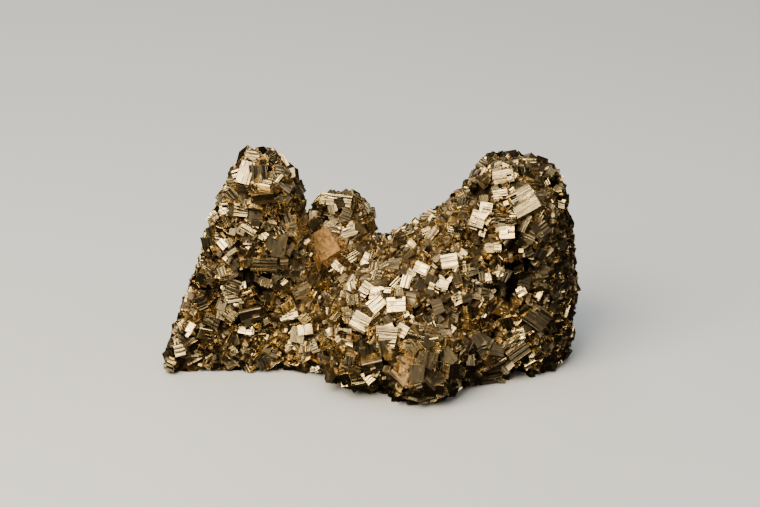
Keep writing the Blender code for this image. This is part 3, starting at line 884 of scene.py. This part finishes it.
# %% Grooves, wear and rust
def grooves(tree):
    """The fine and the wide lines, and from 0 to 1 how much of them each part of a face has."""
    strip = step_of(tree, "ShaderNodeUVMap", {}, uv_map="strip").outputs["UV"]
    where = between(tree, noise(tree, stretched(tree, strip, 0.25, 0.5), 1.0, 1.0), 0.42, 0.58)
    return lines(tree, strip, 0.05, 4.2), lines(tree, strip, 0.04, 1.5), where


def wear(tree, tone, spread, pits, fine, where):
    """The most of three: tarnish, which is tone times spread, dirt in the fine lines, and dirt in the pits."""
    aged = between(tree, combined(tree, "MULTIPLY", tone, spread), 0.05, 0.50)
    dirt = combined(tree, "MULTIPLY", between(tree, fine, 0.42, 0.60), where)
    dirt = combined(tree, "MAXIMUM", dirt, between(tree, pits, 0.60, 0.68))
    return combined(tree, "MAXIMUM", dirt, aged)


def rust_coat(tree, crust, spread):
    """How thick the rust lies: the rust share times the sum of two noises."""
    patch = combined(tree, "ADD", crust, spread)
    return between(tree, combined(tree, "MULTIPLY", stored(tree, "rust"), patch), 0.40, 0.85)


def more_golden(tree, tone):
    """How golden a crystal is, up to 0.7: what follows the point in 7.3 tone is a second number of its own."""
    lot = combined(tree, "FRACT", combined(tree, "MULTIPLY", tone, 7.3))
    return between(tree, lot, 0.5, 1.0, (0.0, 0.7))


print("the fine lines are about", round(1 / 4.2, 2), "mm apart and the wide ones", round(1 / 1.5, 2), "mm")

# %% [markdown]
# One recipe gives three finishes: bright faces, the grainy matrix between them and the duller druse. Colour,
# roughness and bump all come from the same few patterns, so a dirty groove is dark, dull and deep at once.

# %% The metal
# The first colour is painted shade: the near-black that corners deep in the gaps are mixed towards.
GAP_SHADE = (0.040, 0.028, 0.018, 1.0)
OCHRE_DARK, OCHRE = (0.42, 0.17, 0.035, 1.0), (1.0, 0.58, 0.18, 1.0)
FINE, WIDE, PIT, FLAKE = 0.055, 0.11, 0.02, 0.15     # mm, the most that each pattern raises


def pyrite(name, bright, gold, tarnish, groove, rough, broken=0.0):
    """Brassy metal: groove scales the height of the growth lines, rough is the pair of roughness limits, and
    broken is how strongly the fine grain of a broken face shows."""
    material = bpy.data.materials.new(name)
    material.use_nodes = True
    tree = material.node_tree
    place = step_of(tree, "ShaderNodeTexCoord", {}).outputs["Object"]
    spread, pits = noise(tree, place, 140.0, 4.0, 0.65), noise(tree, place, 1600.0, 2.0)
    crust = between(tree, noise(tree, place, 900.0, 4.0, 0.7), 0.35, 0.65)
    tone, depth = stored(tree, "tone"), stored(tree, "depth")
    fine, wide, where = grooves(tree)
    worn = wear(tree, tone, spread, pits, fine, where)
    coat = rust_coat(tree, crust, spread)

    metal = mixed(tree, worn, mixed(tree, more_golden(tree, tone), bright, gold), tarnish)
    # Painted shade: the stored depth mixes corners deep in the gaps towards the near-black colour.
    metal = mixed(tree, depth, metal, GAP_SHADE)
    colour = mixed(tree, coat, metal, mixed(tree, crust, OCHRE_DARK, OCHRE))
    dull = combined(tree, "MAXIMUM", combined(tree, "MAXIMUM", worn, depth), coat)

    bump = raised(tree, pits, PIT, strength=0.2)
    bump = raised(tree, combined(tree, "MULTIPLY", fine, where), FINE * groove, bump)
    bump = raised(tree, wide, WIDE * groove, bump)
    flake = combined(tree, "MULTIPLY", crust, combined(tree, "MAXIMUM", coat, broken))
    bump = raised(tree, flake, FLAKE, bump)

    shader = tree.nodes["Principled BSDF"]
    for socket, value in (("Base Color", colour), ("Metallic", combined(tree, "SUBTRACT", 1.0, coat)),
                          ("Roughness", between(tree, dull, 0.0, 1.0, rough)), ("Normal", bump)):
        tree.links.new(value, shader.inputs[socket])
    print(name, "has", len(tree.nodes), "nodes")
    return material


faces = pyrite("pyrite_faces", bright=(0.93, 0.73, 0.38, 1.0), gold=(0.93, 0.69, 0.27, 1.0),
               tarnish=(0.35, 0.27, 0.165, 1.0), groove=1.0, rough=(0.14, 0.38))
grainy = pyrite("pyrite_matrix", bright=(0.30, 0.21, 0.11, 1.0), gold=(0.30, 0.19, 0.08, 1.0),
                tarnish=(0.10, 0.07, 0.04, 1.0), groove=0.5, rough=(0.3, 0.6), broken=1.0)
druse = pyrite("pyrite_druse", bright=(0.80, 0.64, 0.40, 1.0), gold=(0.80, 0.62, 0.33, 1.0),
               tarnish=(0.20, 0.15, 0.095, 1.0), groove=0.8, rough=(0.20, 0.42))
matrix.data.materials.append(grainy)
tiny_piece.data.materials.append(druse)
for piece in (large, rider_piece, medium_piece, small_piece):
    piece.data.materials.append(faces)

# %% [markdown]
# The specimen stands on a plain pale floor. Metal shows what is around it, and a bright floor in every face that
# looks down would wash the gold out, so the floor is kept out of the mirror images.

# %% The floor
FLOOR_REACH, FLOOR_DROP = 3.0, 0.0002      # m, how far it goes and how far it lies under the base
corners = [(x * FLOOR_REACH, y * FLOOR_REACH, 0) for x, y in ((-1, -1), (1, -1), (1, 1), (-1, 1))]
floor_mesh = bpy.data.meshes.new("floor")
floor_mesh.from_pydata(corners, [], [range(4)])
floor = bpy.data.objects.new("floor", floor_mesh)
floor.location = (0.0, 0.0, -FLOOR_DROP)
bpy.context.scene.collection.objects.link(floor)
paper = bpy.data.materials.new("paper")
paper.use_nodes = True
paper.node_tree.nodes["Principled BSDF"].inputs["Base Color"].default_value = (0.8, 0.8, 0.8, 1.0)
paper.node_tree.nodes["Principled BSDF"].inputs["Roughness"].default_value = 0.9
floor_mesh.materials.append(paper)
floor.visible_glossy = False
print("the floor is", 2 * FLOOR_REACH, "m wide")

# %% [markdown]
# Most faces must see something dim: the room is nearly dark, and the facets that happen to face half way between
# the key light and the eye flash cream. The key is big, soft and warm, and stands to the upper left in front.
# Weak lights on the left, in front, on the right and behind give every other side its own glints. A wash from
# straight above lights the floor and the gaps, and is kept out of the mirror images, because it would turn every
# level face white.

# %% The lights
AIM_AT = (0.0, 0.0, 25.0)     # mm
WARM, CREAM = (1.0, 0.885, 0.67), (1.0, 0.93, 0.84)
PLAIN, COOL = (1.0, 0.97, 0.93), (0.90, 0.96, 1.0)
LIGHTS = (
    ("key", (-0.42, -0.55, 0.72), 600.0, 450.0, 6.0, WARM),
    ("front", (0.38, -0.9, 0.16), 700.0, 450.0, 0.40, CREAM),
    ("left", (-0.9, -0.35, 0.2), 650.0, 400.0, 0.5, CREAM),
    ("rim", (0.95, 0.0, 0.5), 600.0, 200.0, 0.38, PLAIN),
    ("behind", (-0.3, 0.9, 0.6), 700.0, 400.0, 0.8, PLAIN),
    ("wash", (0.0, 0.0, 1.0), 900.0, 900.0, 5.5, COOL),
)


def area_light(name, direction, distance, size, power, colour):
    """A square area light that looks at the specimen from a direction, distance and size in mm, power in W."""
    data = bpy.data.lights.new(name, "AREA")
    data.shape = "SQUARE"
    data.size, data.energy, data.color = size * MM, power, colour
    made = bpy.data.objects.new(name, data)
    aim = np.array(direction) / np.linalg.norm(direction)
    made.location = (aim * distance + AIM_AT) * MM
    made.rotation_euler = Vector(-aim).to_track_quat("-Z", "Y").to_euler()
    bpy.context.scene.collection.objects.link(made)
    return made


lights = {row[0]: area_light(*row) for row in LIGHTS}
lights["wash"].visible_glossy = False
world = bpy.data.worlds.new("room")
world.use_nodes = True
world.node_tree.nodes["Background"].inputs["Color"].default_value = (0.007, 0.0065, 0.006, 1.0)
bpy.context.scene.world = world
print(len(lights), "lights give", round(sum(row[4] for row in LIGHTS), 1), "W together")

# %% [markdown]
# The camera looks down at the specimen from the front, half a metre away, with a long lens, so that the two
# horns keep their true proportions.

# %% The camera
ELEVATION, AWAY = np.radians(24.0), 528.0     # the angle it looks down at, and its distance in mm
LOOK_AT = np.array([2.4, 0.0, 28.7])

back = np.array([0.0, -np.cos(ELEVATION), np.sin(ELEVATION)])
camera_data = bpy.data.cameras.new("camera")
camera_data.lens, camera_data.sensor_width = 100.0, 36.0
camera_data.clip_start = 0.01
camera = bpy.data.objects.new("camera", camera_data)
camera.location = (LOOK_AT - MIDDLE + back * AWAY) * MM
camera.rotation_euler = Vector(-back).to_track_quat("-Z", "Y").to_euler()
bpy.context.scene.collection.objects.link(camera)
bpy.context.scene.camera = camera
print("the camera is at", [round(x, 2) for x in camera.location], "m")
